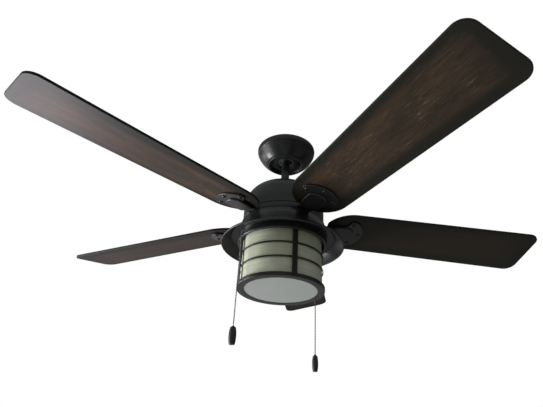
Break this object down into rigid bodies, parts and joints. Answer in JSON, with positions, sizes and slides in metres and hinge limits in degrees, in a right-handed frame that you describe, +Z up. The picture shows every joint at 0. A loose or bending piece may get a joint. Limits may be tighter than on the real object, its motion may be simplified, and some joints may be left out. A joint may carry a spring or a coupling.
{
  "type": "ceiling fan with light",
  "caption": "Ceiling fan on a short downrod, with wide wooden blades on metal irons, a flared metal hood, a caged drum light and two hanging pull chains.",
  "frame": {"origin": "centre of the hanger bracket's top face, on the ceiling plane and on the fan's axis", "axes": "+Z up along the fan's axis, +X along the line of the two outlet-box screws"},
  "size_m": [1.2578, 1.283, 0.5728],
  "materials": {
    "bronze_paint": "matt, very dark bronze paint",
    "bright_bronze": "satin plated bronze",
    "galvanised_steel": "plated steel",
    "ball_nylon": "black moulded nylon",
    "cast_iron_grey": "cast iron and stacked laminations",
    "copper_wire": "varnished copper winding",
    "cast_aluminium": "die cast",
    "capacitor_case": "moulded case",
    "walnut_board": "dark stained walnut grain with burnished edges",
    "linen_glass": "cream glass with fine linen streaks",
    "frosted_glass": "flat frosted glass",
    "lamp_glass": "frosted lamp",
    "socket_porcelain": "glazed porcelain",
    "chain_metal": "dull bronze bead chain",
    "pendant_metal": "dark bronze with brass ends"
  },
  "bodies": {
    "ceiling_mount": {"hanger_bracket": "galvanised_steel", "canopy": "bronze_paint", "canopy_screws": "bronze_paint"},
    "suspension": {"downrod": "bronze_paint", "motor_cover": "bronze_paint", "hood": "bronze_paint", "fitter_pan": "bronze_paint", "cage_collar": "bronze_paint", "cage_bottom_ring": "bronze_paint", "cage_hoops": "bronze_paint", "cage_bars": "bronze_paint", "cover_screws": "bronze_paint", "chain_eyelets": "bright_bronze", "mounting_plate": "galvanised_steel", "switch_housing": "galvanised_steel", "lamp_bracket": "galvanised_steel", "ball_pin": "galvanised_steel", "yoke_pin": "galvanised_steel", "yoke_set_screws": "galvanised_steel", "motor_shaft": "galvanised_steel", "shaft_nut": "galvanised_steel", "hood_screws": "galvanised_steel", "pan_screws": "galvanised_steel", "switch_nuts": "galvanised_steel", "hanger_ball": "ball_nylon", "fan_switch": "ball_nylon", "light_switch": "ball_nylon", "reversing_switch": "ball_nylon", "motor_yoke": "cast_iron_grey", "stator_core": "cast_iron_grey", "stator_windings": "copper_wire", "capacitor": "capacitor_case", "glass_shade": "linen_glass", "bottom_diffuser": "frosted_glass", "lamps": "lamp_glass", "lamp_sockets": "socket_porcelain"},
    "rotor": {"rotor_upper_bell": "cast_aluminium", "rotor_lower_bell": "bronze_paint", "rotor_core": "cast_iron_grey", "lower_bearing": "galvanised_steel", "upper_bearing": "galvanised_steel", "blade_iron_1": "bronze_paint", "blade_iron_2": "bronze_paint", "blade_iron_3": "bronze_paint", "blade_iron_4": "bronze_paint", "blade_iron_5": "bronze_paint", "blade_1": "walnut_board", "blade_2": "walnut_board", "blade_3": "walnut_board", "blade_4": "walnut_board", "blade_5": "walnut_board", "blade_screws": "bright_bronze", "iron_screws": "galvanised_steel"},
    "reversing_slider": {"reversing_knob": "ball_nylon"},
    "fan_pull": {"fan_pull_chain": "chain_metal", "fan_pull_pendant": "pendant_metal"},
    "light_pull": {"light_pull_chain": "chain_metal", "light_pull_pendant": "pendant_metal"}
  },
  "joints": [
    {"name": "hanger_tilt", "type": "hinge", "parent": "ceiling_mount", "child": "suspension", "pos_m": [0, 0, -0.0235], "axis": [1, 0, 0], "range_deg": [-12, 12]},
    {"name": "rotor_spin", "type": "hinge", "parent": "suspension", "child": "rotor", "pos_m": [0, 0, -0.206], "axis": [0, 0, 1], "continuous": true},
    {"name": "reversing_slide", "type": "slide", "parent": "suspension", "child": "reversing_slider", "axis": [0.9848, 0.1736, 0], "range_m": [0, 0.006]},
    {"name": "fan_pull_slide", "type": "slide", "parent": "suspension", "child": "fan_pull", "axis": [0, 0, -1], "range_m": [0, 0.008], "stiffness_N_per_m": 200, "springref_m": -0.006},
    {"name": "light_pull_slide", "type": "slide", "parent": "suspension", "child": "light_pull", "axis": [0, 0, -1], "range_m": [0, 0.008], "stiffness_N_per_m": 200, "springref_m": -0.006}
  ]
}
